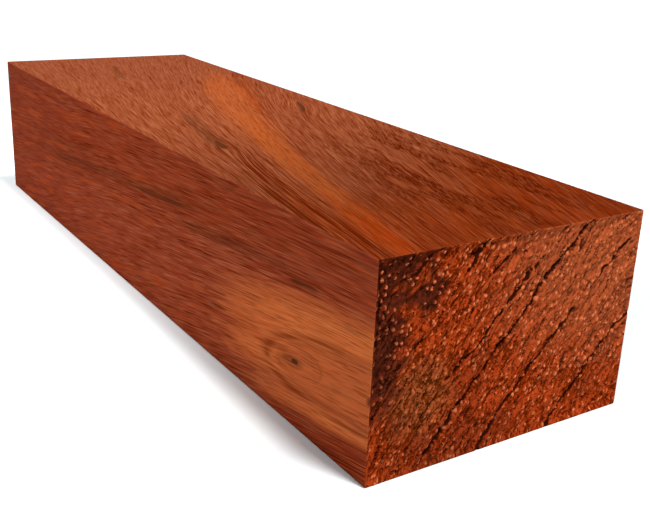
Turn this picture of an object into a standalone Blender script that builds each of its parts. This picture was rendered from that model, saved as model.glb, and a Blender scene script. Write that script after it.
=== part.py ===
"""A squared piece of padauk, planed on its four long faces and left rough from the saw at both ends.

It is one solid. The grain runs along Y, Z is up, and the origin is at the centre of the underside.
Drying checks and the ridges of the growth layers are cut into the two ends, and run up to the right across them.
"""

import math

import bmesh
import bpy
from mathutils import Vector, noise

MM = 0.001

# The piece, a stock size
WIDTH = 75 * MM
LENGTH = 250 * MM
HEIGHT = 50 * MM
EASED_EDGE = 0.4 * MM

# The sawn ends: how far their cells, layers and fibres lie apart, and how deep the saw left them
END_CELL = 1.25 * MM
LAYER_ANGLE = math.radians(42)
LAYER_SPACING = 5.2 * MM
LAYER_WANDER = 2.2 * MM
LAYER_WANDER_SIZE = 14 * MM
LAYER_DEPTH = 0.35 * MM
TORN_LENGTH = 7 * MM
TORN_BREADTH = 2.4 * MM
TORN_DEPTH = 0.55 * MM
TORN_LEVEL = 0.12
EDGE_HOLD = 2.0 * MM

# Where the dense ring of points at each end fans in to the eight corners of the plain length
FAN_LENGTH = 12 * MM

# A check wanders this far off its route, with this wavelength. It closes towards the outline,
# over this distance, to this share of its depth
CHECK_WANDER = 0.6 * MM
CHECK_WANDER_SIZE = 5 * MM
CHECK_CLOSES = 3 * MM
CHECK_AT_EDGE = 0.12

# Checks as (half width, depth, route) in millimetres. A route is measured from the lower left
# corner of the end, seen with that end's own left at minus X.
NEAR_CHECKS = (
    (1.1, 2.0, ((16, 3), (25, 13.8), (35, 24.8), (42.5, 32.5), (46, 37.5), (54.8, 45.3), (58.5, 50))),
    (0.9, 1.4, ((30, 0), (38, 9.8), (47, 19.5), (53, 25.5), (56.5, 28.5))),
    (0.8, 1.1, ((61, 33.5), (67, 39), (72, 43))),
    (1.0, 1.7, ((51, 0), (59.5, 8.8), (66.5, 16.8), (75, 24.5))),
    (0.8, 1.2, ((20, 20), (26.5, 24.5), (32.5, 30.8), (39.5, 38.5), (45, 43.5))),
    (0.9, 1.1, ((23.5, 43.5), (28, 50))),
    (0.8, 1.0, ((9, 44.5), (16, 50))),
    (0.8, 0.9, ((30.5, 42), (36, 46.5))),
    (0.8, 1.0, ((3, 22.5), (7.5, 26))),
)
FAR_CHECKS = (
    (1.0, 1.8, ((8, 0), (17, 9.5), (26, 17), (33, 25), (40, 31))),
    (0.9, 1.3, ((44, 33), (51, 41), (60, 50))),
    (1.0, 1.5, ((40, 3), (49, 11.5), (57, 20), (68, 28.5), (75, 35))),
    (0.8, 1.1, ((12, 28), (19, 35.5), (26, 41))),
    (0.8, 1.0, ((0, 33), (6, 38.5), (11, 44))),
)

# Padauk's heartwood
WOOD_COLOUR = (0.36, 0.075, 0.022, 1.0)
WOOD_ROUGHNESS = 0.55


def clear_scene():
    for item in list(bpy.data.objects):
        bpy.data.objects.remove(item)


def soft_step(value):
    value = min(max(value, 0.0), 1.0)
    return value * value * (3 - 2 * value)


def distance_to_route(point, route):
    """How far a point of the end lies from a check's route."""
    nearest = math.inf
    for start, end in zip(route, route[1:]):
        run = end - start
        share = min(max((point - start).dot(run) / run.length_squared, 0.0), 1.0)
        nearest = min(nearest, (point - start - run * share).length)
    return nearest


def check_depth(point, checks):
    """The deepest check at this point, narrowing to nothing at its sides."""
    place = Vector((point.x, point.y, 0)) / CHECK_WANDER_SIZE
    wander = noise.noise_vector(place) * CHECK_WANDER
    moved = point + wander.to_2d()
    deepest = 0.0
    for half_width, depth, route in checks:
        points = [Vector(corner) * MM for corner in route]
        share = 1 - distance_to_route(moved, points) / (half_width * MM)
        deepest = max(deepest, depth * MM * soft_step(share))
    return deepest


def torn_depth(point, seed):
    """How far the saw tore the fibres out below its own plane: ridges along the layers, and lumps."""
    along = point.x * math.cos(LAYER_ANGLE) + point.y * math.sin(LAYER_ANGLE)
    across = point.y * math.cos(LAYER_ANGLE) - point.x * math.sin(LAYER_ANGLE)
    place = Vector((point.x, point.y, seed)) / LAYER_WANDER_SIZE
    bent = across + noise.noise(place) * LAYER_WANDER
    layer = 0.5 - 0.5 * math.cos(2 * math.pi * bent / LAYER_SPACING)
    lumps = noise.noise(Vector((along / TORN_LENGTH, across / TORN_BREADTH, seed)))
    return LAYER_DEPTH * layer ** 2 + TORN_DEPTH * max(0.0, lumps + TORN_LEVEL)


def end_depth(x, z, checks, seed):
    """The depth below the saw's plane at (x, z). It fades at the outline, where only checks run out."""
    to_edge = min(WIDTH / 2 - abs(x), z, HEIGHT - z)
    point = Vector((x + WIDTH / 2, z))
    torn = torn_depth(point, seed) * soft_step(to_edge / EDGE_HOLD)
    open_share = CHECK_AT_EDGE + (1 - CHECK_AT_EDGE) * soft_step(to_edge / CHECK_CLOSES)
    return max(torn, check_depth(point, checks) * open_share)


def stations(size):
    """Cell edges across the size, with the outermost two cells as wide as the eased edge."""
    inner = size / 2 - EASED_EDGE
    count = round(2 * inner / END_CELL)
    middle = [-inner + 2 * inner * step / count for step in range(count + 1)]
    return [-size / 2, *middle, size / 2]


def end_grid(mesh, side, checks, seed):
    """The points of one sawn end, by column and row, without its four sharp corners. side is -1 or 1 in Y."""
    columns = stations(WIDTH)
    rows = [z + HEIGHT / 2 for z in stations(HEIGHT)]
    grid = {}
    for i, x in enumerate(columns):
        for j, z in enumerate(rows):
            rims = (i in (0, len(columns) - 1)) + (j in (0, len(rows) - 1))
            if rims == 2:
                continue
            depth = end_depth(x, z, checks, seed)
            if rims == 1:
                depth += EASED_EDGE
            grid[i, j] = mesh.verts.new((x, side * (LENGTH / 2 - depth), z))
    for i in range(len(columns) - 1):
        for j in range(len(rows) - 1):
            around = ((i, j), (i + 1, j), (i + 1, j + 1), (i, j + 1))
            found = [grid[key] for key in around if key in grid]
            mesh.faces.new(found[:3])
            if len(found) == 4:  # split from lower left to upper right, as the layers and checks run
                mesh.faces.new([found[0], *found[2:]])
    return grid, len(columns) - 1, len(rows) - 1


def rim_runs(grid, last_column, last_row):
    """The rim of an end as four runs of points: bottom, right, top and left."""
    bottom = [grid[i, 0] for i in range(1, last_column)]
    right = [grid[last_column, j] for j in range(1, last_row)]
    top = [grid[i, last_row] for i in range(last_column - 1, 0, -1)]
    left = [grid[0, j] for j in range(last_row - 1, 0, -1)]
    return [bottom, right, top, left]


def corner_ring(mesh, y, runs):
    """The eight corners of the plain cross section, as a pair for each run of the rim."""
    return [[mesh.verts.new((vert.co.x, y, vert.co.z)) for vert in (run[0], run[-1])] for run in runs]


def join_rings(mesh, first, second):
    """Faces from one set of runs to the next: a face for each side, and one for each eased corner."""
    for k, run in enumerate(first):
        other = second[k]
        mesh.faces.new([*run, *reversed(other)])
        after, other_after = first[(k + 1) % 4], second[(k + 1) % 4]
        mesh.faces.new([run[-1], after[0], other_after[0], other[-1]])


def make_material():
    material = bpy.data.materials.new("padauk")
    material.use_nodes = True
    shader = material.node_tree.nodes["Principled BSDF"]
    shader.inputs["Base Color"].default_value = WOOD_COLOUR
    shader.inputs["Roughness"].default_value = WOOD_ROUGHNESS
    shader.inputs["Metallic"].default_value = 0.0
    return material


def make_block():
    mesh = bmesh.new()
    near = rim_runs(*end_grid(mesh, -1, NEAR_CHECKS, 3.7))
    far = rim_runs(*end_grid(mesh, 1, FAR_CHECKS, 11.3))
    near_ring = corner_ring(mesh, -LENGTH / 2 + FAN_LENGTH, near)
    far_ring = corner_ring(mesh, LENGTH / 2 - FAN_LENGTH, far)
    for first, second in ((near, near_ring), (near_ring, far_ring), (far_ring, far)):
        join_rings(mesh, first, second)
    bmesh.ops.recalc_face_normals(mesh, faces=mesh.faces)
    data = bpy.data.meshes.new("padauk_block")
    mesh.to_mesh(data)
    mesh.free()
    data.materials.append(make_material())
    block = bpy.data.objects.new("padauk_block", data)
    bpy.context.scene.collection.objects.link(block)


clear_scene()
make_block()
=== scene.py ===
"""The finish of a squared piece of padauk, planed along the grain and sawn at both ends, and its stage.

The frame holds the piece at its real size. X runs across the width, Y along the grain and Z up, in metres.
Patterns are worked out in millimetres. Angles are in radians unless a name says otherwise.
"""

import math

import bpy
from bpy.props import FloatProperty, FloatVectorProperty, IntProperty, PointerProperty
from mathutils import Matrix, Vector


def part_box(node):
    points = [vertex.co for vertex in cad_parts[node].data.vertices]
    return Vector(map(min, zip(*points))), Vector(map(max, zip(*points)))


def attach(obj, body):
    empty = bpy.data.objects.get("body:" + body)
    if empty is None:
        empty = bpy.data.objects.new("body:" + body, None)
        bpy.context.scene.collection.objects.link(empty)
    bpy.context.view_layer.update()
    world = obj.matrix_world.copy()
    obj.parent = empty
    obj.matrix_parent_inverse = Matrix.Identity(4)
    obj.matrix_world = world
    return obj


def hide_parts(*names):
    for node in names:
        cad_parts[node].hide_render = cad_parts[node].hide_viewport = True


bl_info = {
    "name": "Padauk wood piece",
    "version": (1, 0, 0),
    "blender": (4, 5, 0),
    "location": "3D View > Sidebar > Padauk",
    "description": "Dresses a squared piece of padauk and sets its stage",
    "category": "Object",
}

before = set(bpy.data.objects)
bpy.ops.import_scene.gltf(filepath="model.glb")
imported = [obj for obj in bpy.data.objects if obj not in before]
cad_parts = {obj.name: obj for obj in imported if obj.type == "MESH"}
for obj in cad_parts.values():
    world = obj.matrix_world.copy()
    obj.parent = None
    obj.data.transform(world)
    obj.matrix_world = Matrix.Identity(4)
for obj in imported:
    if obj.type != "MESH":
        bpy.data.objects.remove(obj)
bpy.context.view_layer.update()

NODE = "padauk_block"
BODY = "root"
PIECE = "padauk_block_finish"

MM = 0.001
LOWEST, HIGHEST = (Vector(corner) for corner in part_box(NODE))
WIDTH, LENGTH, HEIGHT = HIGHEST - LOWEST
BLOCK_SIZE = {"Width": WIDTH, "Length": LENGTH, "Height": HEIGHT}

# The photo's frame, in pixels
FRAME_WIDTH = 650
FRAME_HEIGHT = 510

# The camera, fitted to the seven corners seen in the photo
CAMERA_PLACE = (-0.1383, -0.2598, 0.1109)
CAMERA_AZIMUTH = math.radians(34.66)
CAMERA_DROP = math.radians(19.14)
CAMERA_ROLL = math.radians(2.89)
FOCAL_LENGTH_PX = 955.4
VIEW_CENTRE_PX = (346.3, 245.3)
SENSOR_WIDTH_MM = 36.0

# Routes of the drying checks: half width, depth, and points from the lower left corner of the
# near end, all in millimetres. The far end's routes run in the same sense of X.
NEAR_CHECKS = (
    (1.1, 2.0, ((16, 3), (25, 13.8), (35, 24.8), (42.5, 32.5), (46, 37.5), (54.8, 45.3), (58.5, 50))),
    (0.9, 1.4, ((30, 0), (38, 9.8), (47, 19.5), (53, 25.5), (56.5, 28.5))),
    (0.8, 1.1, ((61, 33.5), (67, 39), (72, 43))),
    (1.0, 1.7, ((51, 0), (59.5, 8.8), (66.5, 16.8), (75, 24.5))),
    (0.8, 1.2, ((20, 20), (26.5, 24.5), (32.5, 30.8), (39.5, 38.5), (45, 43.5))),
    (0.9, 1.1, ((23.5, 43.5), (28, 50))),
    (0.8, 1.0, ((9, 44.5), (16, 50))),
    (0.8, 0.9, ((30.5, 42), (36, 46.5))),
    (0.8, 1.0, ((3, 22.5), (7.5, 26))),
)
FAR_CHECKS = (
    (1.0, 1.8, ((8, 0), (17, 9.5), (26, 17), (33, 25), (40, 31))),
    (0.9, 1.3, ((44, 33), (51, 41), (60, 50))),
    (1.0, 1.5, ((40, 3), (49, 11.5), (57, 20), (68, 28.5), (75, 35))),
    (0.8, 1.1, ((12, 28), (19, 35.5), (26, 41))),
    (0.8, 1.0, ((0, 33), (6, 38.5), (11, 44))),
)

# A number for each face, read as the third coordinate of its figure
TOP, UNDER, LEFT, RIGHT = 0.0, 10.0, 20.0, 30.0

# Where the ends lie along Y, and how far their marks reach along it, in millimetres
NEAR, FAR = LOWEST.y / MM, HIGHEST.y / MM
END_REACH = 30.0

# The far end's pattern has a seed that is twice this above the near one's
SEED_STEP = 3.8

# Dark, torn patches of the ends: x, end, z, half width and half height, in millimetres, and strength
TORN_MARKS = (
    (-35, NEAR, 46, 12, 12, 1),
    (-36.5, NEAR, 31, 8.5, 14, 1),
    (-24, NEAR, 40, 6, 3.5, 1),
    (34, FAR, 8, 8, 9, 1),
)


# Properties


def count(name, description, default):
    return IntProperty(name=name, description=description, default=default, min=4)


def amount(name, description, default, **unit):
    return FloatProperty(name=name, description=description, default=default, min=0.0, **unit)


def colour(name, description, *rgb):
    return FloatVectorProperty(
        name=name, description=description, default=(*rgb, 1.0), subtype="COLOR", size=4, min=0.0, soft_max=1
    )


def angle(name, description, degrees):
    return FloatProperty(
        name=name, description=description, default=math.radians(degrees), subtype="ANGLE", unit="ROTATION"
    )


class SawnEndSizes(bpy.types.PropertyGroup):
    """Sizes of the relief on the sawn ends, in millimetres."""

    eased_edge: amount("Eased edge", "Radius of the block's edges, in mm", 0.4)
    cells_across: count("Cells across", "Cells of each end across the width", 250)
    cells_up: count("Cells up", "Cells of each end up its height", 167)
    cells_along: count("Cells along", "Cells of each long face along the grain", 12)
    layer_angle: angle("Layer angle", "Slope of the growth layers on the ends", 42)
    layer_spacing: amount("Layer spacing", "From one growth layer to the next, in mm", 5.2)
    layer_depth: amount("Layer depth", "How far the soft part of a layer lies back, in mm", 0.35)
    torn_depth: amount("Torn depth", "How far the saw tore out lumps of fibre, in mm", 0.55)
    bundle_angle: angle("Bundle angle", "Slope of the fibre bundles on the ends", 57)
    bundle_length: amount("Bundle length", "Length of a fibre bundle, in mm", 1.7)
    bundle_breadth: amount("Bundle breadth", "Breadth of a fibre bundle, in mm", 0.95)
    bundle_depth: amount("Bundle depth", "How far a bundle stands out of the gaps, in mm", 0.6)
    edge_hold: amount("Edge hold", "Margin in which the relief fades out, in mm", 1.2)
    check_closes: amount("Check closes", "Margin in which a check closes, in mm", 3.0)
    seed: FloatProperty(name="Seed", description="Draws another set of bundles", default=3.7)


class WoodColours(bpy.types.PropertyGroup):
    """Colours of the heartwood, with painted shade on the far half and painted shade and highlights on the
    sawn ends.
    """

    deep: colour("Deep", "Darkest lines of the wide faces", 0.115, 0.014, 0.0017)
    heart: colour("Heart", "Heartwood of the wide faces", 0.222, 0.050, 0.0172)
    pale: colour("Pale", "Palest lines of the wide faces", 0.310, 0.091, 0.038)
    orange: colour("Orange", "The orange bands", 0.356, 0.0712, 0.012)
    side_orange: colour("Side orange", "The orange bands of the narrow faces", 0.655, 0.158, 0.040)
    # Painted shade: the far half is darker, to offset the far lamp's pool of light
    far_shade: colour("Far stain", "Factor on the colour of the far half", 0.84, 0.88, 1.0)
    deep_stain: colour("Deep stain", "Factor on the colour of the deepest figure", 0.98, 0.64, 0.34)
    grey: colour("Grey", "Grey-brown streaks and eyes", 0.062, 0.018, 0.007)
    side_deep: colour("Side deep", "Darkest lines of the narrow faces", 0.100, 0.011, 0.0018)
    side_heart: colour("Side heart", "Heartwood of the narrow faces", 0.240, 0.0375, 0.0148)
    side_flash: colour("Side flash", "Red flashes of the narrow faces", 0.380, 0.056, 0.012)
    side_pale: colour("Side pale", "Palest lines of the narrow faces", 0.365, 0.086, 0.036)
    # Painted shade in the gaps, slits, pores and checks of the ends
    end_gap_shade: colour("End gap", "Gaps and checks of the sawn ends", 0.022, 0.003, 0.001)
    # Darker heartwood of the ends, which also carries painted shade in their low places and round crowded
    # tips
    end_dark_and_shade: colour("End deep", "Dark layers of the sawn ends", 0.165, 0.016, 0.001)
    end_heart: colour("End heart", "Heartwood of the sawn ends", 0.375, 0.0455, 0.008)
    end_pale: colour("End pale", "Paler heartwood of the sawn ends", 0.460, 0.120, 0.042)
    # Painted highlights on the tips of the fibre bundles
    end_tip_highlight: colour("End tip", "Tips of the fibre bundles", 0.620, 0.168, 0.065)
    tan_stain: colour("Tan stain", "Factor on the colour of a tan patch", 0.76, 1.32, 2.0)
    end_dusk: colour("End dusk", "Purple-brown smudges of the ends", 0.070, 0.0125, 0.0055)


class StageSettings(bpy.types.PropertyGroup):
    """The floor and the light."""

    floor: colour("Floor", "Colour of the floor", 0.898, 0.945, 0.957)
    floor_reach: amount("Floor reach", "From the block to the floor's rim", 12.0, unit="LENGTH")
    sky: colour("Sky", "Colour of the light from all round", 0.83, 0.96, 1.0)
    sky_light: amount("Sky light", "Strength of the light from all round", 0.11)
    key_light: amount("Key light", "Strength of the light from above", 3.3)
    front_light: amount("Front light", "Strength of the light on the near end", 1.2)
    far_light: amount("Far light", "Power of the lamp over the far half", 9.0, unit="POWER")


class PadaukSettings(bpy.types.PropertyGroup):
    """Everything that a user would change."""

    ends: PointerProperty(type=SawnEndSizes, name="Sawn ends", description="Relief of the sawn ends")
    colours: PointerProperty(type=WoodColours, name="Colours", description="Colours of the wood")
    stage: PointerProperty(type=StageSettings, name="Stage", description="Floor and light")


def own_keys(group):
    return [key for key in group.bl_rna.properties.keys() if key not in ("rna_type", "name")]


def named_values(group):
    """The values of a property group, by the names that the panel shows."""
    properties = group.bl_rna.properties
    return {properties[key].name: getattr(group, key) for key in own_keys(group)}


def pick(values, names):
    return {name: values[name] for name in names}


# Drawing node trees

SHADER, GEOMETRY = "ShaderNodeTree", "GeometryNodeTree"


class Sheet:
    """A node tree being drawn. It adds nodes in columns and links each input that is given as a socket.

    An input of the tree is named with its default number, or with its kind where it has none.
    """

    ROWS = 8
    STEP = (230, -260)
    KINDS = {int: "Int", float: "Float"}

    def __init__(self, tree, inputs=None, outputs=None):
        self.tree = tree
        self.count = 0
        for name, value in (inputs or {}).items():
            kind = self.KINDS.get(type(value), value)
            socket = tree.interface.new_socket(name, in_out="INPUT", socket_type="NodeSocket" + kind)
            if kind != value:
                socket.default_value = value
        for name, kind in (outputs or {}).items():
            tree.interface.new_socket(name, in_out="OUTPUT", socket_type="NodeSocket" + kind)
        self.start = self.node("NodeGroupInput").outputs if inputs else None
        self.end = self.node("NodeGroupOutput").inputs if outputs else None

    def feed(self, socket, value):
        if isinstance(value, bpy.types.NodeSocket):
            self.tree.links.new(value, socket)
        else:
            socket.default_value = value

    def node(self, kind, inputs=None, **settings):
        node = self.tree.nodes.new(kind)
        column, row = divmod(self.count, self.ROWS)
        node.location = (column * self.STEP[0], row * self.STEP[1])
        self.count += 1
        for name, value in settings.items():
            setattr(node, name, value)
        for key, value in (inputs or {}).items():
            self.feed(node.inputs[key], value)
        return node

    def group(self, tree, inputs):
        kind = "GeometryNodeGroup" if self.tree.bl_idname == GEOMETRY else "ShaderNodeGroup"
        return self.node(kind, inputs, node_tree=tree).outputs

    def finish(self, values):
        for name, value in values.items():
            self.feed(self.end[name], value)
        return self.tree

    def math(self, operation, *values, clamp=False):
        node = self.node("ShaderNodeMath", dict(enumerate(values)), operation=operation, use_clamp=clamp)
        return node.outputs[0]

    def minus(self, first, second):
        return self.math("SUBTRACT", first, second)

    def over(self, first, second):
        return self.math("DIVIDE", first, second)

    def vector(self, operation, *values, scale=None):
        inputs = dict(enumerate(values))
        if scale is not None:
            inputs["Scale"] = scale
        node = self.node("ShaderNodeVectorMath", inputs, operation=operation)
        return node.outputs["Value" if operation == "LENGTH" else "Vector"]

    def combine(self, x=0.0, y=0.0, z=0.0):
        return self.node("ShaderNodeCombineXYZ", {0: x, 1: y, 2: z}).outputs[0]

    def separate(self, vector):
        return self.node("ShaderNodeSeparateXYZ", {0: vector}).outputs

    def ease(self, value, low, high, at_low=0.0, at_high=1.0):
        """A smooth step from at_low to at_high as the value goes from low to high."""
        inputs = {"Value": value, "From Min": low, "From Max": high, "To Min": at_low, "To Max": at_high}
        return self.node("ShaderNodeMapRange", inputs, interpolation_type="SMOOTHSTEP").outputs["Result"]

    def noise(self, vector, size=None, detail=0.0, roughness=0.5, output=0):
        """Smooth noise, stretched to a size on each axis."""
        if size is not None:
            vector = self.vector("DIVIDE", vector, size)
        inputs = {"Vector": vector, "Scale": 1.0, "Detail": detail, "Roughness": roughness}
        return self.node("ShaderNodeTexNoise", inputs).outputs[output]

    def drift(self, vector, reach, size=None, detail=0.0, roughness=0.5):
        """A noise vector of about this reach to each side."""
        value = self.noise(vector, size, detail, roughness, "Color")
        return self.vector("SCALE", self.vector("SUBTRACT", value, (0.5, 0.5, 0.5)), scale=2 * reach)

    def spots(self, vector):
        """Scattered spots: the distance to the nearest, and a random number of its own."""
        inputs = {"Vector": vector, "Scale": 1.0, "Randomness": 1.0}
        outputs = self.node("ShaderNodeTexVoronoi", inputs, feature="F1").outputs
        return outputs["Distance"], self.separate(outputs["Color"])[0]

    def blend(self, factor, first, second, blend_type="MIX"):
        """A blend of two colours. A factor past 0 or 1 counts as 0 or 1."""
        inputs = {0: factor, 6: first, 7: second}
        settings = {"data_type": "RGBA", "clamp_factor": True, "blend_type": blend_type}
        return self.node("ShaderNodeMix", inputs, **settings).outputs[2]

    def swing(self, value, reach):
        """A value between 0 and 1 as a swing of about half this reach to each side of zero."""
        return self.math("MULTIPLY", self.minus(value, 0.5), reach)

    def between(self, factor, first, second):
        inputs = {0: factor, 2: first, 3: second}
        return self.node("ShaderNodeMix", inputs, data_type="FLOAT", clamp_factor=False).outputs[0]

    def store(self, geometry, name, value, data_type, domain):
        """The geometry with one more named attribute."""
        inputs = {"Geometry": geometry, "Name": name, "Value": value}
        kind = "GeometryNodeStoreNamedAttribute"
        return self.node(kind, inputs, data_type=data_type, domain=domain).outputs[0]

    def total(self, first, *others):
        for value in others:
            first = self.math("ADD", first, value)
        return first

    def highest(self, first, *others):
        for value in others:
            first = self.math("MAXIMUM", first, value)
        return first

    def times(self, first, *others):
        for value in others:
            first = self.math("MULTIPLY", first, value)
        return first


def new_group(name, kind, inputs, outputs):
    return Sheet(bpy.data.node_groups.new(name, kind), inputs, outputs)


# Node groups that the geometry and the materials share

PATTERN_SIZES = ("Seed", "Layer angle", "Layer spacing", "Bundle angle", "Bundle length", "Bundle breadth")
DEPTHS = ("Layer depth", "Torn depth", "Bundle depth")


def fibre_bundles(kind, sizes):
    """The pattern of a sawn end, the same for its relief and its colour: layers, fibre bundles and slits."""
    values = ("Layer", "Dome", "Tip", "Dot", "Slit", "Crowd")
    outputs = {**dict.fromkeys(values, "Float"), "Run": "Vector", "Fibre": "Vector"}
    inputs = {"Place": "Vector", **pick(sizes, PATTERN_SIZES)}
    sheet = new_group("fibre bundles", kind, inputs, outputs)
    wander, wander_size = 2.2, 14.0
    bow = 0.0018
    ragged, ragged_size = 0.3, 1.3
    slit_length, slit_breadth = 5.0, 0.62
    start = sheet.start
    x, _, z = sheet.separate(start["Place"])
    seed = start["Seed"]

    def turned(angle):
        cosine, sine = sheet.math("COSINE", angle), sheet.math("SINE", angle)
        along = sheet.total(sheet.times(x, cosine), sheet.times(z, sine))
        across = sheet.minus(sheet.times(z, cosine), sheet.times(x, sine))
        return along, across

    along, across = turned(start["Layer angle"])
    slow = sheet.combine(sheet.over(x, wander_size), sheet.over(z, wander_size), seed)
    shift = sheet.swing(sheet.noise(slow, detail=1.0), 2 * wander)
    bent = sheet.total(across, shift, sheet.times(x, x, bow))
    turns = sheet.times(sheet.over(bent, start["Layer spacing"]), math.tau)
    layer = sheet.math("MULTIPLY_ADD", sheet.math("COSINE", turns), -0.5, 0.5)
    run = sheet.combine(along, bent, seed)

    straight = sheet.combine(*turned(start["Bundle angle"]), seed)
    push = sheet.drift(straight, ragged, (ragged_size, ragged_size, 1.0), 1.0)
    fibre = sheet.vector("ADD", straight, push)
    cell = sheet.vector("DIVIDE", fibre, sheet.combine(start["Bundle length"], start["Bundle breadth"], 1.0))
    flat = sheet.vector("MULTIPLY", cell, (1.0, 1.0, 0.0))
    flat = sheet.vector("ADD", flat, sheet.combine(0.0, 0.0, seed))
    to_tip, rank = sheet.spots(flat)
    crowd = sheet.swing(sheet.noise(run, (9.0, 3.0, 1.0), 1.0), 1.8)
    standing = sheet.ease(sheet.total(rank, crowd), 0.05, 0.4)
    tip = sheet.times(sheet.ease(to_tip, 0.08, 0.48, 1.0, 0.0), standing)
    pits = sheet.vector("ADD", sheet.vector("DIVIDE", fibre, (1.1, 1.0, 1.0)), (5.3, 2.9, 7.1))
    dot = sheet.ease(sheet.spots(pits)[0], 0.14, 0.26, 1.0, 0.0)
    lumpy = sheet.noise(cell, (0.9, 0.75, 1.0), 2.0)
    dome = sheet.total(
        sheet.times(sheet.ease(lumpy, 0.34, 0.62), 0.45), sheet.times(tip, 0.55), sheet.times(dot, -0.2)
    )
    slit = sheet.ease(sheet.noise(fibre, (slit_length, slit_breadth, 1.0), 2.0), 0.60, 0.66)
    return sheet.finish(dict(zip(outputs, (layer, dome, tip, dot, slit, crowd, run, fibre))))


def mark(kind):
    """A soft oval at Centre, with a straight tail along Y. Its reach is given on each axis."""
    inputs = {"Place": "Vector", "Centre": "Vector", "Reach": "Vector", "Tail": 0.0, "Softness": 0.6}
    sheet = new_group("mark", kind, inputs, {"Mask": "Float", "Radius": "Float"})
    start = sheet.start
    x, y, z = sheet.separate(sheet.vector("SUBTRACT", start["Place"], start["Centre"]))
    ahead = sheet.highest(sheet.minus(y, start["Tail"]), 0.0)
    behind = sheet.math("MINIMUM", y, 0.0)
    offset = sheet.combine(x, sheet.total(ahead, behind), z)
    radius = sheet.vector("LENGTH", sheet.vector("DIVIDE", offset, start["Reach"]))
    inner = sheet.minus(1.0, start["Softness"])
    outer = sheet.total(start["Softness"], 1.0)
    return sheet.finish({"Mask": sheet.ease(radius, inner, outer, 1.0, 0.0), "Radius": radius})


def oval(sheet, spot, place, centre, reach, tail=0.0, softness=0.6):
    """Places the mark group, spot, in another tree."""
    inputs = {"Place": place, "Centre": centre, "Reach": reach, "Tail": tail, "Softness": softness}
    return sheet.group(spot, inputs)


def end_mask(sheet, spot, place, marks, softness=0.6):
    """The strongest of some marks of the ends at each point."""
    strongest = 0.0
    for x, end, z, half_width, half_height, strength in marks:
        reach = (half_width, END_REACH, half_height)
        mask = oval(sheet, spot, place, (x, end, z), reach, softness=softness)["Mask"]
        strongest = sheet.highest(sheet.times(mask, strength), strongest)
    return strongest


def torn_patch_group(kind, spot):
    """A mask of the dark patches that the saw tore out of the ends."""
    sheet = new_group("torn patches", kind, {"Place": "Vector", "Run": "Vector"}, {"Mask": "Float"})
    start = sheet.start
    ragged = sheet.noise(start["Run"], (4.0, 2.5, 1.0), 2.0)
    plain = end_mask(sheet, spot, start["Place"], TORN_MARKS, softness=0.9)
    edged = sheet.total(plain, sheet.swing(ragged, 1.6))
    return sheet.finish({"Mask": sheet.ease(edged, 0.3, 0.9)})


def add_object(name, data):
    item = bpy.data.objects.new(name, data)
    bpy.context.scene.collection.objects.link(item)
    return item


# The block's geometry


def check_routes():
    points, edges, half_widths, depths = [], [], [], []
    for y, checks in ((LOWEST.y, NEAR_CHECKS), (HIGHEST.y, FAR_CHECKS)):
        for half_width, depth, route in checks:
            for step, (x, z) in enumerate(route):
                if step:
                    edges.append((len(points) - 1, len(points)))
                    half_widths.append(half_width)
                    depths.append(depth)
                points.append((LOWEST.x + x * MM, y, LOWEST.z + z * MM))
    mesh = bpy.data.meshes.new("check routes")
    mesh.from_pydata(points, edges, [])
    for name, values in (("half width", half_widths), ("depth", depths)):
        mesh.attributes.new(name, "FLOAT", "EDGE").data.foreach_set("value", values)
    return mesh


def check_depth_group():
    """How deep the nearest check is at a place of an end, in millimetres, and how much of its full depth."""
    inputs = {"Routes": "Geometry", "Place": "Vector", "To outline": 0.0, "Closes": 3.0}
    sheet = new_group("checks", GEOMETRY, inputs, {"Depth": "Float", "Share": "Float"})
    wander, wander_size, at_outline = 0.75, 3.5, 0.12
    start = sheet.start
    slow = sheet.vector("SCALE", start["Place"], scale=1 / wander_size)
    offset = sheet.drift(slow, 2 * wander, detail=3.0, roughness=0.7)
    moved = sheet.vector("SCALE", sheet.vector("ADD", start["Place"], offset), scale=MM)
    inputs = {"Geometry": start["Routes"], "Sample Position": moved}
    near = sheet.node("GeometryNodeProximity", inputs, target_element="EDGES")
    edge = sheet.node("GeometryNodeSampleNearest", inputs, domain="EDGE").outputs[0]
    found = []
    for name in ("half width", "depth"):
        own = sheet.node("GeometryNodeInputNamedAttribute", {"Name": name}, data_type="FLOAT").outputs[0]
        sample = sheet.node(
            "GeometryNodeSampleIndex", {"Geometry": start["Routes"], "Value": own, "Index": edge},
            data_type="FLOAT", domain="EDGE",
        )
        found.append(sample.outputs[0])
    distance = sheet.times(near.outputs["Distance"], 1 / MM)
    share = sheet.ease(sheet.over(distance, found[0]), 0.0, 1.0, 1.0, 0.0)
    open_share = sheet.ease(start["To outline"], 0.0, start["Closes"], at_outline, 1.0)
    depth = sheet.times(found[1], share, open_share)
    return sheet.finish({"Depth": depth, "Share": share})


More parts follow.
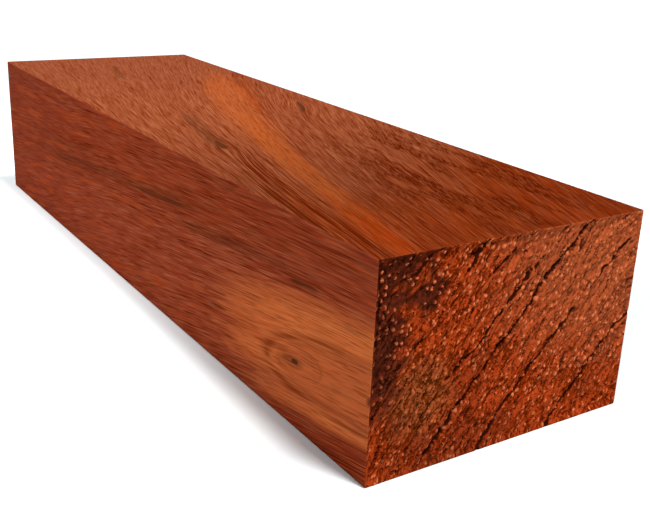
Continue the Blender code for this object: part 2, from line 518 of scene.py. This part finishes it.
def sawn_relief_group(sizes):
    """How far the sawn surface lies below the saw's plane, in millimetres."""
    pattern, patches = fibre_bundles(GEOMETRY, sizes), torn_patch_group(GEOMETRY, mark(GEOMETRY))
    inputs = {"Place": "Vector", **pick(sizes, PATTERN_SIZES + DEPTHS)}
    sheet = new_group("sawn relief", GEOMETRY, inputs, {"Depth": "Float"})
    lump_length, lump_breadth, lump_level = 7.0, 2.4, 0.38
    slit_depth, patch_depth = 0.55, 0.6
    start = sheet.start
    found = sheet.group(pattern, pick(start, ("Place", *PATTERN_SIZES)))
    layer = sheet.times(found["Layer"], found["Layer"], start["Layer depth"])
    long = sheet.noise(found["Run"], (lump_length, lump_breadth, 1.0))
    lumps = sheet.highest(sheet.minus(long, lump_level), 0.0)
    torn = sheet.times(lumps, 2.0, start["Torn depth"])
    gaps = sheet.times(sheet.minus(1.0, found["Dome"]), start["Bundle depth"])
    slits = sheet.times(found["Slit"], slit_depth)
    patch = sheet.group(patches, {"Place": start["Place"], "Run": found["Run"]})["Mask"]
    sunk = sheet.times(patch, sheet.minus(1.0, found["Tip"]), patch_depth)
    return sheet.finish({"Depth": sheet.total(layer, torn, gaps, slits, sunk)})


def sawn_block_tree(sizes):
    """The whole block, built round the routes of its checks, which are the object's own mesh."""
    relief, checks = sawn_relief_group(sizes), check_depth_group()
    woods = dict.fromkeys(("Planed wood", "Sawn wood"), "Material")
    inputs = {"Routes": "Geometry", **BLOCK_SIZE, **sizes, **woods}
    sheet = new_group("sawn block", GEOMETRY, inputs, {"Block": "Geometry"})
    start = sheet.start
    width, length, height = start["Width"], start["Length"], start["Height"]
    radius = sheet.times(start["Eased edge"], MM)
    size = sheet.combine(width, length, height)
    cube = sheet.node("GeometryNodeMeshCube", {
        "Size": size,
        "Vertices X": sheet.math("ADD", start["Cells across"], 1),
        "Vertices Y": sheet.math("ADD", start["Cells along"], 1),
        "Vertices Z": sheet.math("ADD", start["Cells up"], 1),
    }).outputs["Mesh"]
    half = sheet.vector("SCALE", size, scale=0.5)
    half_length = sheet.times(length, 0.5)

    # Each step below reads the place as the step before has left it
    place = sheet.node("GeometryNodeInputPosition").outputs[0]
    x, y, z = sheet.separate(place)
    side = sheet.math("SIGN", y)

    # The faces of each end are marked before any point moves
    normal = sheet.node("GeometryNodeInputNormal").outputs[0]
    faces_along = sheet.math("ABSOLUTE", sheet.separate(normal)[1])
    on_ends = sheet.math("GREATER_THAN", faces_along, 0.5)
    marked = sheet.store(cube, "sawn", on_ends, "BOOLEAN", "FACE")

    # Stations crowd towards the ends, so that the outermost are an eased edge apart
    inward = sheet.minus(1.0, sheet.math("ABSOLUTE", sheet.over(y, half_length)))
    last = sheet.over(2.0, start["Cells along"])
    power = sheet.math("LOGARITHM", sheet.over(radius, half_length), last)
    from_end = sheet.math("POWER", sheet.highest(inward, 0.0), power)
    crowded = sheet.times(side, half_length, sheet.minus(1.0, from_end))
    inputs = {"Geometry": marked, "Position": sheet.combine(x, crowded, z)}
    stationed = sheet.node("GeometryNodeSetPosition", inputs).outputs[0]

    # Rounded edges: each point goes to one radius from the box that lies a radius inside
    inner = sheet.vector("SUBTRACT", half, sheet.combine(radius, radius, radius))
    held = sheet.vector("MAXIMUM", place, sheet.vector("SCALE", inner, scale=-1.0))
    held = sheet.vector("MINIMUM", held, inner)
    outward = sheet.vector("NORMALIZE", sheet.vector("SUBTRACT", place, held))
    rounded = sheet.vector("ADD", held, sheet.vector("SCALE", outward, scale=radius))
    lifted = sheet.vector("ADD", rounded, sheet.combine(0.0, 0.0, sheet.times(height, 0.5)))
    eased = sheet.node("GeometryNodeSetPosition", {"Geometry": stationed, "Position": lifted}).outputs[0]

    # The relief of the ends, which fades over the first of the long faces' length
    to_sides = sheet.minus(sheet.times(width, 0.5), sheet.math("ABSOLUTE", x))
    to_outline = sheet.math("MINIMUM", to_sides, sheet.math("MINIMUM", z, sheet.minus(height, z)))
    to_outline = sheet.times(sheet.highest(to_outline, 0.0), 1 / MM)
    to_end = sheet.minus(half_length, sheet.math("ABSOLUTE", y))
    on_end = sheet.combine(x, sheet.times(side, half_length), z)
    place_mm = sheet.vector("SCALE", on_end, scale=1 / MM)
    seed = sheet.math("MULTIPLY_ADD", side, SEED_STEP, sheet.total(start["Seed"], SEED_STEP))
    given = {**pick(start, PATTERN_SIZES + DEPTHS), "Place": place_mm, "Seed": seed}
    torn = sheet.group(relief, given)["Depth"]
    hold = sheet.ease(to_outline, 0.0, start["Edge hold"])
    inputs = {"Routes": start["Routes"], "Place": place_mm, "To outline": to_outline}
    check = sheet.group(checks, {**inputs, "Closes": start["Check closes"]})
    depth = sheet.highest(sheet.times(torn, hold), check["Depth"])
    fan_length = 12 * MM
    fade = sheet.math("SUBTRACT", 1.0, sheet.over(to_end, fan_length), clamp=True)
    back = sheet.times(depth, fade, side, -MM)
    offset = sheet.combine(0.0, back, 0.0)
    cut = sheet.node("GeometryNodeSetPosition", {"Geometry": eased, "Offset": offset}).outputs[0]
    cut = sheet.store(cut, "check", sheet.times(check["Share"], fade), "FLOAT", "POINT")

    # Plain shading on the long faces, smooth on the ends
    is_sawn = sheet.node("GeometryNodeInputNamedAttribute", {"Name": "sawn"}, data_type="BOOLEAN").outputs[0]
    inputs = {"Geometry": cut, "Shade Smooth": is_sawn}
    shaded = sheet.node("GeometryNodeSetShadeSmooth", inputs, domain="FACE").outputs[0]
    block = sheet.node("GeometryNodeRealizeInstances", {"Geometry": shaded}).outputs[0]
    for selection, wood in ((True, start["Planed wood"]), (is_sawn, start["Sawn wood"])):
        inputs = {"Geometry": block, "Selection": selection, "Material": wood}
        block = sheet.node("GeometryNodeSetMaterial", inputs).outputs[0]
    return sheet.finish({"Block": block})


def set_inputs(modifier, values):
    """Sets a modifier's inputs by their sockets' identifiers."""
    for item in modifier.node_group.interface.items_tree:
        if item.item_type == "SOCKET" and item.in_out == "INPUT" and item.name in values:
            modifier[item.identifier] = values[item.name]


def plain_mesh(helper, name):
    """The helper's evaluated geometry as a plain mesh object. The helper and its own mesh go."""
    graph = bpy.context.evaluated_depsgraph_get()
    mesh = bpy.data.meshes.new_from_object(
        helper.evaluated_get(graph), preserve_all_data_layers=True, depsgraph=graph
    )
    mesh.name = name
    source = helper.data
    helper.modifiers.clear()
    bpy.data.objects.remove(helper)
    bpy.data.meshes.remove(source)
    return add_object(name, mesh)


def build_block(settings):
    sizes = named_values(settings.ends)
    spot = mark(SHADER)
    planed, sawn = planed_padauk(settings.colours, spot), sawn_padauk(settings.colours, spot, sizes)
    helper = add_object("check routes", check_routes())
    modifier = helper.modifiers.new("sawn block", "NODES")
    modifier.node_group = sawn_block_tree(sizes)
    set_inputs(modifier, {**BLOCK_SIZE, **sizes, "Planed wood": planed, "Sawn wood": sawn})
    return plain_mesh(helper, PIECE)


# Materials


def new_material(name):
    """A material, and the sheet on which it is drawn."""
    material = bpy.data.materials.new(name)
    material.use_nodes = True
    return material, Sheet(material.node_tree)


def dress(sheet, colour, roughness, relief=None):
    """Feeds the material's own shader, which has no gloss here. The relief is in millimetres."""
    surface = sheet.tree.nodes["Principled BSDF"].inputs
    surface["Specular IOR Level"].default_value = 0.0
    sheet.feed(surface["Base Color"], colour)
    sheet.feed(surface["Roughness"], roughness)
    if relief is not None:
        bump = sheet.node("ShaderNodeBump", {"Height": relief, "Distance": MM, "Strength": 1.0})
        sheet.feed(surface["Normal"], bump.outputs[0])


def millimetres(sheet):
    place = sheet.node("ShaderNodeTexCoord").outputs["Object"]
    return sheet.vector("SCALE", place, scale=1 / MM)


def grain_group():
    """Grain coordinates of the long faces: across the fibres, along them, and the face's own number.

    On the wide faces the fibres fan out from a point far off to one side, and on the narrow ones they climb
    towards the near end. Across is in millimetres at mid-length.
    """
    fans = {"Wide fan": 72.5, "Wide run": 232.0, "Narrow fan": 12.0, "Narrow run": 300.0}
    inputs, outputs = {"Place": "Vector", **fans}, {"Grain": "Vector", "Narrow": "Float"}
    sheet = new_group("grain", SHADER, inputs, outputs)
    half_width, half_height = WIDTH / 2 / MM, HEIGHT / 2 / MM
    start = sheet.start
    x, y, z = sheet.separate(start["Place"])
    above = sheet.minus(z, half_height)
    to_wide = sheet.minus(half_height, sheet.math("ABSOLUTE", above))
    to_narrow = sheet.minus(half_width, sheet.math("ABSOLUTE", x))
    narrow = sheet.math("GREATER_THAN", to_wide, to_narrow)
    up = sheet.math("SIGN", above)
    spread = sheet.math("EXPONENT", sheet.over(y, sheet.times(start["Wide run"], -1.0)))
    fan = sheet.times(sheet.total(sheet.times(x, up), start["Wide fan"]), spread)
    wide_across = sheet.minus(sheet.total(start["Wide fan"], half_width), fan)
    climb = sheet.math("EXPONENT", sheet.over(y, sheet.times(start["Narrow run"], -1.0)))
    below_top = sheet.minus(2 * half_height, z)
    fan = sheet.times(sheet.total(below_top, start["Narrow fan"]), climb)
    narrow_across = sheet.minus(fan, start["Narrow fan"])
    under = sheet.times(sheet.math("LESS_THAN", above, 0.0), UNDER)
    right = sheet.math("MULTIPLY_ADD", sheet.math("GREATER_THAN", x, 0.0), RIGHT - LEFT, LEFT)
    across = sheet.between(narrow, wide_across, narrow_across)
    face = sheet.between(narrow, under, right)
    return sheet.finish({"Grain": sheet.combine(across, y, face), "Narrow": narrow})


def wander_group():
    """Bends the grain from side to side, slowly and then finely."""
    inputs = {"Grain": "Vector", "Slow": 1.25, "Quick": 0.12}
    sheet = new_group("wander", SHADER, inputs, {"Grain": "Vector"})
    start = sheet.start
    moved = sheet.vector("ADD", start["Grain"], (0.0, 400.0, 0.37))
    slow, quick = sheet.noise(moved, (16.0, 62.0, 1.0)), sheet.noise(moved, (5.0, 17.0, 1.0))
    shift = sheet.total(sheet.swing(slow, start["Slow"]), sheet.swing(quick, start["Quick"]))
    shift = sheet.times(shift, 2.0)
    return sheet.finish({"Grain": sheet.vector("ADD", start["Grain"], sheet.combine(shift))})


def streaks_group():
    """Streaks along the grain: dark is 0 and pale is 1."""
    inputs = {"Grain": "Vector", "Width": 1.0, "Length": 20.0, "Detail": 1.0}
    sheet = new_group("streaks", SHADER, inputs, {"Value": "Float"})
    start = sheet.start
    size = sheet.combine(start["Width"], start["Length"], 1.0)
    # The shift keeps the noise's own lattice, where it is flat, away from mid-length and the faces' numbers
    shift = sheet.vector("SCALE", size, scale=0.37)
    moved = sheet.vector("ADD", sheet.vector("DIVIDE", start["Grain"], size), shift)
    return sheet.finish({"Value": sheet.noise(moved, detail=start["Detail"])})


def flow_group():
    """Opens the grain round a knot, with ripples that die away from it."""
    knot = {"Centre": "Vector", "Reach": "Vector", "Push": 0.6, "Rings": 2.0}
    inputs, outputs = {"Grain": "Vector", "Ripple": 0.0, **knot}, {"Grain": "Vector", "Ripple": "Float"}
    sheet = new_group("flow round a knot", SHADER, inputs, outputs)
    start = sheet.start
    offset = sheet.vector("SUBTRACT", start["Grain"], start["Centre"])
    radius = sheet.vector("LENGTH", sheet.vector("DIVIDE", offset, start["Reach"]))
    near = sheet.math("EXPONENT", sheet.times(radius, radius, -1.0))
    across = sheet.separate(offset)[0]
    shift = sheet.times(across, near, start["Push"], -1.0)
    ring = sheet.math("COSINE", sheet.times(radius, start["Rings"], math.tau))
    ripple = sheet.total(start["Ripple"], sheet.times(ring, near))
    moved = sheet.vector("ADD", start["Grain"], sheet.combine(shift))
    return sheet.finish({"Grain": moved, "Ripple": ripple})


# Marks of the figure, in grain coordinates and millimetres. Along falls towards the near end.
# Knots: face, across, along, half width, half length, how far they push the grain aside, and their rings
KNOTS = (
    (TOP, 54.5, -36, 5, 11, 0.6, 1.4),
    (TOP, 16, 6, 5, 8, 0.6, 1),
    (LEFT, 51, -96, 5, 8, 0.6, 1.4),
    (LEFT, 51.5, NEAR, 13, 46, 0.35, 0),
    (RIGHT, 20, 40, 6, 12, 0.8, 2),
    (UNDER, 30, 20, 7, 14, 0.8, 2),
)

# The others: face, across, along, half width, half length, a tail that runs to the far end, and strength
GREY_MARKS = (
    (TOP, 54.2, -33.5, 0.6, 2.6, 5, 0.85),
    (TOP, 54.6, -24, 2.6, 12, 24, 0.42),
    (TOP, 53.5, 6, 1.6, 12, 26, 0.3),
    (TOP, 64.5, 84, 1.2, 10, 14, 0.4),
    (TOP, 15.4, 4, 0.55, 5, 7, 0.85),
    (TOP, 15.3, -5, 1.4, 9, 12, 0.3),
    (TOP, 31, 55, 1, 12, 22, 0.4),
    (LEFT, 16.5, -20, 2.2, 30, 70, 0.4),
    (LEFT, 22.5, -80, 2, 24, 24, 0.4),
    (LEFT, 17.3, -30, 1.1, 10, 16, 0.65),
    (LEFT, 13.5, 30, 4, 20, 60, 0.26),
    (LEFT, 25.4, -102, 0.7, 3, 6, 0.7),
    (LEFT, 51, -96.5, 0.35, 1.2, 0.8, 0.95),
    (LEFT, 51, -96, 1.5, 4, 2, 0.4),
    (LEFT, 51.6, -125.5, 1.1, 1.6, 0, 0.9),
    (RIGHT, 20, 36, 0.35, 3, 8, 1),
    (RIGHT, 34, -60, 2.6, 24, 100, 0.45),
    (RIGHT, 12, -70, 1.2, 10, 30, 0.6),
    (UNDER, 30, 16, 0.4, 3, 9, 1),
    (UNDER, 62, -60, 3, 24, 90, 0.45),
    (UNDER, 8, -60, 1.2, 10, 40, 0.6),
)
ORANGE_MARKS = (
    (TOP, 37, NEAR, 5, 40, 100, 0.9),
    (TOP, 36.3, -10, 7.5, 50, 40, 0.6),
    (LEFT, 41, NEAR, 12, 50, 10, 0.9),
    (LEFT, 51, NEAR, 9, 48, 10, 1),
    (LEFT, 63, NEAR, 4, 38, 10, 0.8),
    (RIGHT, 8, -80, 4, 60, 60, 0.7),
    (UNDER, 48, -90, 5, 60, 120, 0.8),
)
DEEP_MARKS = (
    (TOP, 10, NEAR, 160, 31, 0, 1.3),
    (TOP, -58, NEAR, 50, 50, 10, 1.6),
    (TOP, -6, NEAR, 25, 46, 10, 0.8),
    (TOP, 50, NEAR, 7, 46, 10, 0.95),
    (TOP, 29.5, 30, 2.2, 30, 50, 0.5),
    (LEFT, 8, -50, 10, 80, 60, 0.25),
    (LEFT, 73, NEAR, 6, 40, 30, 0.4),
    (RIGHT, 44, 10, 10, 90, 60, 0.5),
    (UNDER, 14, -80, 20, 70, 40, 0.6),
)
LINED_MARKS = (
    (TOP, 51, NEAR, 9, 50, 50, 1.2),
    (TOP, 22, -40, 12, 60, 40, 0.5),
    (LEFT, 74, NEAR, 7, 24, 6, 1),
    (LEFT, 8, -110, 14, 50, 40, 0.45),
    (RIGHT, 30, -60, 12, 60, 60, 0.7),
    (UNDER, 60, -60, 14, 60, 60, 0.7),
)
CHATTER_MARKS = (
    (TOP, -24, -92, 48, 40, 30, 1),
    (UNDER, 20, -40, 16, 50, 30, 0.8),
    (RIGHT, 4, 0, 8, 60, 30, 0.6),
)

# Dark rings in the figure: face, across, along, half width, half length and strength
RINGS = (
    (LEFT, 51.5, NEAR, 10.8, 41.5, 0.65),
    (LEFT, 51.5, NEAR, 8.6, 35.5, 0.35),
    (LEFT, 51, -99, 3.6, 8, 0.35),
    (TOP, 15.6, 3, 2.2, 5, 0.45),
    (RIGHT, 20, 36, 3.4, 10, 0.5),
    (UNDER, 30, 16, 3.6, 11, 0.5),
)


def figure_mask(sheet, spot, grain, marks):
    """The strongest of some marks at each point."""
    strongest = 0.0
    for face, across, along, half_width, half_length, tail, strength in marks:
        mask = oval(sheet, spot, grain, (across, along, face), (half_width, half_length, 1.0), tail)["Mask"]
        strongest = sheet.highest(sheet.times(mask, strength), strongest)
    return strongest


def planed_padauk(colours, spot):
    """Planed heartwood: dark pore lines and streaks along the grain, orange bands and grey eyes."""
    material, sheet = new_material("planed padauk")
    streaks, flow = streaks_group(), flow_group()
    place = millimetres(sheet)
    found = sheet.group(grain_group(), {"Place": place})
    straight, narrow = found["Grain"], found["Narrow"]
    grain = sheet.group(wander_group(), {"Grain": straight})["Grain"]
    ripple = 0.0
    for face, across, along, half_width, half_length, push, rings in KNOTS:
        bent = sheet.group(flow, {
            "Grain": grain, "Ripple": ripple, "Push": push, "Rings": rings,
            "Centre": (across, along, face), "Reach": (half_width, half_length, 1.0),
        })
        grain, ripple = bent["Grain"], bent["Ripple"]

    def streak(width, length, detail=0.0):
        inputs = {"Grain": grain, "Width": width, "Length": length, "Detail": detail}
        return sheet.group(streaks, inputs)["Value"]

    broad, middle = streak(9.0, 130.0, 1.0), streak(3.0, 60.0, 1.0)
    fine, hair, thin = streak(0.9, 20.0, 1.0), streak(0.42, 14.0), streak(0.22, 7.0)
    parts = [
        sheet.swing(value, weight)
        for value, weight in ((broad, 0.1), (middle, 0.16), (fine, 0.36), (hair, 0.85), (thin, 1.1))
    ]

    # The figure is quieter towards the far end, and on the narrow faces
    y = sheet.separate(place)[1]
    quieter = sheet.ease(y, FAR, -70.0, 0.5, 1.0)
    quieter = sheet.times(quieter, sheet.math("MULTIPLY_ADD", narrow, -0.2, 1.0))
    figure = sheet.times(sheet.total(sheet.times(ripple, 0.05), *parts), quieter)
    tone = sheet.total(figure, 0.5)
    lighter, darker = sheet.ease(tone, 0.5, 0.95), sheet.ease(tone, 0.5, 0.08)

    def toned(heart, deep, pale):
        return sheet.blend(lighter, sheet.blend(darker, heart, deep), pale)

    wide_colour = toned(colours.heart, colours.deep, colours.pale)
    narrow_colour = toned(colours.side_heart, colours.side_deep, colours.side_pale)
    colour = sheet.blend(narrow, wide_colour, narrow_colour)
    # Painted shade on the far half, which offsets the pool of the far lamp
    colour = sheet.blend(sheet.ease(y, -40.0, 110.0), colour, colours.far_shade, "MULTIPLY")

    # Bands and stains, whose outlines follow the streaks. A deep mark of more than 1 stains twice
    ragged = sheet.total(sheet.swing(middle, 0.8), sheet.swing(fine, 0.7))

    def ragged_mask(marks):
        plain = figure_mask(sheet, spot, grain, marks)
        return sheet.times(plain, sheet.ease(sheet.total(plain, ragged), 0.05, 0.45))

    orange = ragged_mask(ORANGE_MARKS)
    bright_orange = sheet.blend(narrow, colours.orange, colours.side_orange)
    toned_orange = sheet.blend(sheet.ease(tone, 0.7, -0.1, 0.0, 0.7), bright_orange, colours.heart)
    colour = sheet.blend(sheet.times(orange, 0.9), colour, toned_orange)
    deep = figure_mask(sheet, spot, grain, DEEP_MARKS)
    for factor in (deep, sheet.minus(deep, 1.0)):
        colour = sheet.blend(factor, colour, colours.deep_stain, "MULTIPLY")

    # Red flashes on the narrow faces, then pale lines, dark lines and pores
    flash = sheet.times(narrow, sheet.ease(streak(1.3, 22.0, 1.0), 0.55, 0.70))
    colour = sheet.blend(sheet.times(flash, 0.45), colour, colours.side_flash)

    lines = sheet.ease(streak(0.36, 12.0), 0.58, 0.66)
    colour = sheet.blend(sheet.times(lines, quieter, 0.45), colour, colours.pale)
    lined = sheet.ease(streak(0.55, 42.0, 1.0), 0.50, 0.60)
    lined = sheet.times(lined, figure_mask(sheet, spot, grain, LINED_MARKS))
    pores = sheet.ease(streak(0.3, 6.5), 0.60, 0.70)

    # Dashes along the grain, gathered in trails that run straight along the block
    dashes = sheet.ease(streak(0.6, 3.6, 1.0), 0.50, 0.57)
    long = sheet.vector("DIVIDE", place, (4.5, 26.0, 4.5))
    trails = sheet.noise(sheet.vector("ADD", long, (0.3, 0.4, 0.37)), detail=2.0)
    trails = sheet.ease(trails, 0.44, 0.56)
    chatter = sheet.times(trails, figure_mask(sheet, spot, straight, CHATTER_MARKS))

    ring_width = sheet.times(middle, 0.17)
    broken = sheet.ease(sheet.total(fine, hair), 0.85, 1.2, 1.0, 0.3)
    ring_line, ring_fill = 0.0, 0.0
    for face, across, along, half_width, half_length, strength in RINGS:
        radius = oval(sheet, spot, grain, (across, along, face), (half_width, half_length, 1.0))["Radius"]
        off = sheet.math("ABSOLUTE", sheet.minus(radius, 1.0))
        line = sheet.ease(sheet.over(off, ring_width), 0.0, 1.6, 1.0, 0.0)
        ring_line = sheet.highest(ring_line, sheet.times(line, broken, strength))
        ring_fill = sheet.highest(ring_fill, sheet.ease(radius, 0.6, 1.05, 0.4, 0.0))
    ring_colour = sheet.blend(narrow, colours.heart, colours.side_heart)
    colour = sheet.blend(ring_fill, colour, ring_colour)

    colour = sheet.blend(sheet.times(chatter, 0.28), colour, colours.deep)
    dark = sheet.highest(
        sheet.times(pores, quieter, 0.55), sheet.times(lined, 0.8), sheet.times(chatter, dashes), ring_line
    )
    colour = sheet.blend(dark, colour, colours.side_deep)

    grey = ragged_mask(GREY_MARKS)
    colour = sheet.blend(grey, colour, colours.grey)

    relief = sheet.total(sheet.times(hair, 0.03), sheet.times(fine, 0.03), sheet.times(dark, -0.06))
    dress(sheet, colour, sheet.ease(tone, 0.2, 0.9, 0.62, 0.5), relief)
    return material


# Tints of the sawn ends, like the torn patches
TAN_MARKS = (
    (-24.5, NEAR, 17, 9.5, 9.5, 0.95),
    (-28, NEAR, 22.5, 1.6, 1.4, 1),
    (10, FAR, 30, 9, 7, 0.7),
)
PALE_MARKS = (
    (40, NEAR, 48, 45, 34, 1),
    (-30, FAR, 10, 30, 26, 0.6),
)
DUSK_MARKS = (
    (-35.5, NEAR, 33, 5, 8, 0.8),
    (-36, NEAR, 22, 6, 10, 0.8),
    (-33, NEAR, 25.5, 3.5, 4, 0.9),
    (-30, NEAR, 12, 4, 4, 0.6),
    (-14, NEAR, 4, 22, 7, 0.6),
    (-10, NEAR, 18, 6, 9, 0.5),
    (24.5, NEAR, 10, 5, 5, 0.5),
    (31.5, NEAR, 17, 5, 4, 0.5),
    (36, NEAR, 30, 3, 4, 0.6),
    (30, FAR, 44, 10, 8, 0.8),
    (-10, FAR, 40, 8, 6, 0.5),
)


def sawn_padauk(colours, spot, sizes):
    """Sawn end grain: painted shade in the gaps and checks between the tips of torn fibre bundles, which
    carry painted highlights.
    """
    material, sheet = new_material("sawn padauk")
    x, y, z = sheet.separate(millimetres(sheet))
    side = sheet.math("SIGN", y)
    seed = sheet.math("MULTIPLY_ADD", side, SEED_STEP, sizes["Seed"] + SEED_STEP)
    on_end = sheet.combine(x, sheet.times(side, LENGTH / 2 / MM), z)
    given = {**pick(sizes, PATTERN_SIZES), "Place": on_end, "Seed": seed}
    found = sheet.group(fibre_bundles(SHADER, sizes), given)
    run, fibre, dome, tip = found["Run"], found["Fibre"], found["Dome"], found["Tip"]
    check = sheet.node("ShaderNodeAttribute", attribute_name="check").outputs["Fac"]

    broad, middle = sheet.noise(run, (16.0, 5.0, 1.0), 2.0), sheet.noise(run, (5.0, 1.3, 1.0), 2.0)
    grit, rows = sheet.noise(fibre, (0.55, 0.4, 1.0), 1.0), sheet.noise(fibre, (3.4, 0.75, 1.0), 1.0)
    ragged = sheet.swing(middle, 1.8)

    def tint(marks):
        plain = end_mask(sheet, spot, on_end, marks)
        return sheet.times(plain, sheet.ease(sheet.total(plain, ragged), 0.05, 0.6))

    # The tone rises with the height of the bundles and falls where tips crowd, which is painted highlight
    # and painted shade, with random variation from the noises
    tone = sheet.total(
        sheet.times(dome, 0.95),
        0.11,
        sheet.times(found["Crowd"], -0.3),
        sheet.swing(broad, 0.2),
        sheet.swing(middle, 0.5),
        sheet.swing(rows, 1.5),
        sheet.swing(grit, 1.8),
    )
    patch = sheet.group(torn_patch_group(SHADER, spot), {"Place": on_end, "Run": run})["Mask"]

    # Heartwood and its tints, then the painted highlights on the tips, the dark patches round them, and
    # painted shade in the gaps
    # Low tone takes the dark colour, which is partly painted shade
    colour = sheet.blend(sheet.ease(tone, 0.05, 0.6), colours.end_dark_and_shade, colours.end_heart)
    colour = sheet.blend(sheet.times(tint(PALE_MARKS), 0.45), colour, colours.end_pale)
    tan = tint(TAN_MARKS)
    colour = sheet.blend(tan, colour, colours.tan_stain, "MULTIPLY")
    # Painted highlights on the tips, brighter where the tone is high
    bright = sheet.ease(sheet.times(tip, tone), 0.06, 0.56, 0.0, 0.86)
    bright = sheet.times(bright, sheet.math("MULTIPLY_ADD", tan, -0.6, 1.0))
    bright = sheet.times(bright, sheet.math("MULTIPLY_ADD", patch, -0.2, 1.0))
    colour = sheet.blend(bright, colour, colours.end_tip_highlight)
    colour = sheet.blend(sheet.times(tint(DUSK_MARKS), 0.7), colour, colours.end_dusk)
    bare = sheet.ease(tip, 0.3, 0.7, 0.92, 0.0)
    colour = sheet.blend(sheet.times(patch, bare), colour, colours.end_dusk)
    # Painted shade in the gaps between bundles, the slits, the pores and the checks
    jagged = sheet.total(check, sheet.times(sheet.minus(dome, 0.4), -0.5))
    gap_shade = sheet.highest(
        sheet.ease(dome, 0.10, 0.0, 0.0, 0.4),
        sheet.times(found["Slit"], 0.75),
        sheet.times(found["Dot"], 0.6),
        sheet.ease(jagged, 0.35, 0.65, 0.0, 0.95),
    )
    colour = sheet.blend(gap_shade, colour, colours.end_gap_shade)

    relief = sheet.total(sheet.times(grit, 0.28), sheet.times(dome, 0.4))
    dress(sheet, colour, sheet.ease(grit, 0.3, 0.7, 0.45, 0.7), relief)
    return material


# The stage


def build_floor(settings):
    mesh = bpy.data.meshes.new("floor")
    reach = settings.floor_reach
    corners = [(-reach, -reach, 0), (reach, -reach, 0), (reach, reach, 0), (-reach, reach, 0)]
    mesh.from_pydata(corners, [], [(0, 1, 2, 3)])
    material, sheet = new_material("floor")
    dress(sheet, settings.floor, 0.9)
    mesh.materials.append(material)
    add_object("floor", mesh)


def hang(name, lamp, place, target):
    """Hangs a lamp at a place and points it at a target."""
    item = add_object(name, lamp)
    direction = Vector(target) - Vector(place)
    item.matrix_world = Matrix.Translation(place) @ direction.to_track_quat("-Z", "Y").to_matrix().to_4x4()


def add_sun(name, place, energy, spread):
    lamp = bpy.data.lights.new(name, "SUN")
    lamp.energy = energy
    lamp.angle = spread
    hang(name, lamp, place, (0.0, 0.0, HEIGHT / 2))


def add_far_lamp(power):
    """A soft pool of light on the far half, from above its left edge, so that its floor stays white."""
    lamp = bpy.data.lights.new("far light", "SPOT")
    lamp.energy = power
    lamp.shadow_soft_size = 0.01
    lamp.spot_size = math.radians(40)
    lamp.spot_blend = 1.0
    hang("far light", lamp, (-0.05, 0.1, 0.6), (-0.005, 0.1, 0.0))


def build_lights(settings):
    world = bpy.data.worlds.new("studio")
    world.use_nodes = True
    # The camera sees a plain white backdrop; the light from all round is weaker
    sheet = Sheet(world.node_tree)
    seen = sheet.node("ShaderNodeLightPath").outputs["Is Camera Ray"]
    background = world.node_tree.nodes["Background"]
    sheet.feed(background.inputs["Color"], sheet.blend(seen, settings.sky, (1.0, 1.0, 1.0, 1.0)))
    sheet.feed(background.inputs["Strength"], sheet.between(seen, settings.sky_light, 1.0))
    bpy.context.scene.world = world
    add_sun("key light", (0.12, -0.35, 1.0), settings.key_light, math.radians(10))
    add_sun("front light", (-0.6, -0.35, 0.4), settings.front_light, math.radians(8))
    add_far_lamp(settings.far_light)


def build_camera():
    lens = bpy.data.cameras.new("camera")
    lens.sensor_fit = "HORIZONTAL"
    lens.sensor_width = SENSOR_WIDTH_MM
    lens.lens = FOCAL_LENGTH_PX / FRAME_WIDTH * SENSOR_WIDTH_MM
    lens.shift_x = (FRAME_WIDTH / 2 - VIEW_CENTRE_PX[0]) / FRAME_WIDTH
    lens.shift_y = (VIEW_CENTRE_PX[1] - FRAME_HEIGHT / 2) / FRAME_WIDTH
    lens.clip_start = 0.01
    camera = add_object("camera", lens)
    heading = Matrix.Rotation(-CAMERA_AZIMUTH, 4, "Z")
    drop = Matrix.Rotation(math.pi / 2 - CAMERA_DROP, 4, "X")
    roll = Matrix.Rotation(CAMERA_ROLL, 4, "Z")
    camera.matrix_world = Matrix.Translation(CAMERA_PLACE) @ heading @ drop @ roll
    bpy.context.scene.camera = camera


# Operators and the panel


class PADAUK_OT_block(bpy.types.Operator):
    """Builds the finished block in place of the plain one"""

    bl_idname = "padauk.block"
    bl_label = "Finished block"

    def execute(self, context):
        piece = build_block(context.scene.padauk)
        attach(piece, BODY)
        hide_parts(NODE)
        return {"FINISHED"}


class PADAUK_OT_stage(bpy.types.Operator):
    """Lays the floor, hangs the lights and sets the camera"""

    bl_idname = "padauk.stage"
    bl_label = "Stage"

    def execute(self, context):
        settings = context.scene.padauk.stage
        build_floor(settings)
        build_lights(settings)
        build_camera()
        context.scene.view_settings.view_transform = "Standard"
        return {"FINISHED"}


class PADAUK_PT_panel(bpy.types.Panel):
    """Lists the operators and their settings"""

    bl_idname = "PADAUK_PT_panel"
    bl_label = "Padauk wood piece"
    bl_space_type = "VIEW_3D"
    bl_region_type = "UI"
    bl_category = "Padauk"

    def draw(self, context):
        layout = self.layout
        settings = context.scene.padauk
        for operator in (PADAUK_OT_block, PADAUK_OT_stage):
            layout.operator(operator.bl_idname)
        for group in (settings.ends, settings.colours, settings.stage):
            box = layout.box()
            for key in own_keys(group):
                box.prop(group, key)


CLASSES = (
    SawnEndSizes,
    WoodColours,
    StageSettings,
    PadaukSettings,
    PADAUK_OT_block,
    PADAUK_OT_stage,
    PADAUK_PT_panel,
)


def register():
    for item in CLASSES:
        bpy.utils.register_class(item)
    bpy.types.Scene.padauk = PointerProperty(type=PadaukSettings)


def unregister():
    del bpy.types.Scene.padauk
    for item in reversed(CLASSES):
        bpy.utils.unregister_class(item)


def main():
    register()
    bpy.ops.padauk.block()
    bpy.ops.padauk.stage()


if __name__ == "__main__":
    main()
